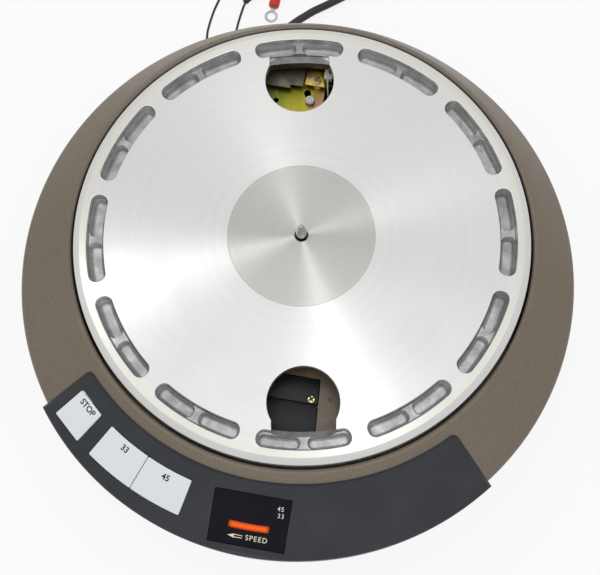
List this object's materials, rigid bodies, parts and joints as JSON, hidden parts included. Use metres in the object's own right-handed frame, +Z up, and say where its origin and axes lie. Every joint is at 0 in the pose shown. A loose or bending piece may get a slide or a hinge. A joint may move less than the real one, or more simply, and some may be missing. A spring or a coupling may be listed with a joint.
{
  "type": "turntable motor unit",
  "caption": "Direct-drive turntable motor unit: platter and spindle in a sloped round base with a curved panel of three push buttons and a strobe window, and a coiled mains lead.",
  "frame": {"origin": "where the spindle's axis meets the flat underside of the bottom can", "axes": "+Z up the spindle, -Y towards the control panel, +X to the right of someone facing the panel"},
  "size_m": [0.383, 0.5946, 0.1453],
  "materials": {
    "ring_paint": "satin brown-taupe metallic paint",
    "panel_plastic": "fine matt charcoal",
    "button_plastic": "satin pale grey",
    "window_plastic": "smoked gloss",
    "orange_plastic": "translucent orange",
    "lamp_glass": "clear lamp glass",
    "platter_aluminium": "spun and machined",
    "yellow_zinc": "yellow zinc plated steel",
    "white_zinc": "bright zinc plated steel",
    "bright_steel": "ground and polished",
    "turned_metal": "turned",
    "motor_steel": "plain steel",
    "dark_paint": "dark paint",
    "bronze": "turned bronze and brass",
    "copper_wire": "enamelled copper wire",
    "winding_tape": "yellow tape",
    "circuit_board": "brown laminate",
    "white_nylon": "white nylon",
    "blue_sleeve": "dark blue sleeve",
    "black_plastic": "matt black",
    "black_rubber": "matt black rubber",
    "red_vinyl": "soft red vinyl"
  },
  "bodies": {
    "base": {"bearing_bushing": "bronze", "bearing_housing": "white_zinc", "board_capacitor": "blue_sleeve", "board_support_1": "white_nylon", "board_support_2": "white_nylon", "board_support_3": "white_nylon", "bottom_can": "dark_paint", "can_screw_1": "white_zinc", "can_screw_2": "white_zinc", "can_screw_3": "white_zinc", "chassis_casting": "ring_paint", "chassis_plate": "yellow_zinc", "control_panel": "panel_plastic", "cover_screw": "yellow_zinc", "dark_sleeve": "black_rubber", "earth_lead": "black_rubber", "head_bracket": "yellow_zinc", "head_lead": "white_nylon", "head_screw": "yellow_zinc", "lamp_cover_front": "black_plastic", "lamp_cover_rear": "black_plastic", "lead_grommet": "black_rubber", "mains_coil": "black_rubber", "mains_cord": "black_rubber", "mains_gland": "black_rubber", "mains_plug": "black_rubber", "motor_cover": "dark_paint", "motor_screw_1": "white_zinc", "motor_screw_2": "white_zinc", "motor_screw_3": "white_zinc", "neon_lamp": "lamp_glass", "panel_screw_1": "white_zinc", "panel_screw_2": "white_zinc", "panel_screw_3": "white_zinc", "pulse_head": "white_nylon", "red_sleeve": "red_vinyl", "ring_terminal": "white_zinc", "second_lead": "black_rubber", "servo_board": "circuit_board", "shield_plate": "dark_paint", "stator_core": "motor_steel", "stator_winding": "copper_wire", "strobe_diffuser": "orange_plastic", "strobe_window": "window_plastic", "switch_block": "black_plastic", "switch_plate": "white_zinc", "thrust_ball": "bright_steel", "thrust_cap": "bronze", "transformer_core": "dark_paint", "transformer_screw_1": "white_zinc", "transformer_screw_2": "white_zinc", "transformer_winding": "winding_tape"},
    "rotor": {"spindle_shaft": "bright_steel", "rotor_hub": "turned_metal", "rotor_bell": "motor_steel"},
    "platter": {"platter": "platter_aluminium", "pulse_ring": "black_plastic"},
    "stop_button_cap": {"stop_button": "button_plastic"},
    "button_33_cap": {"button_33": "button_plastic"},
    "button_45_cap": {"button_45": "button_plastic"}
  },
  "joints": [
    {"name": "platter_spin", "type": "hinge", "parent": "base", "child": "rotor", "pos_m": [0, 0, 0.1117], "axis": [0, 0, 1], "continuous": true},
    {"name": "platter_lift", "type": "slide", "parent": "rotor", "child": "platter", "axis": [0, 0, 1], "range_m": [0, 0.04]},
    {"name": "stop_press", "type": "slide", "parent": "base", "child": "stop_button_cap", "axis": [0, 0, -1], "range_m": [0, 0.0025], "stiffness_N_per_m": 300, "springref_m": -0.001},
    {"name": "press_33", "type": "slide", "parent": "base", "child": "button_33_cap", "axis": [0, 0, -1], "range_m": [0, 0.0025], "stiffness_N_per_m": 300, "springref_m": -0.001},
    {"name": "press_45", "type": "slide", "parent": "base", "child": "button_45_cap", "axis": [0, 0, -1], "range_m": [0, 0.0025], "stiffness_N_per_m": 300, "springref_m": -0.001}
  ]
}
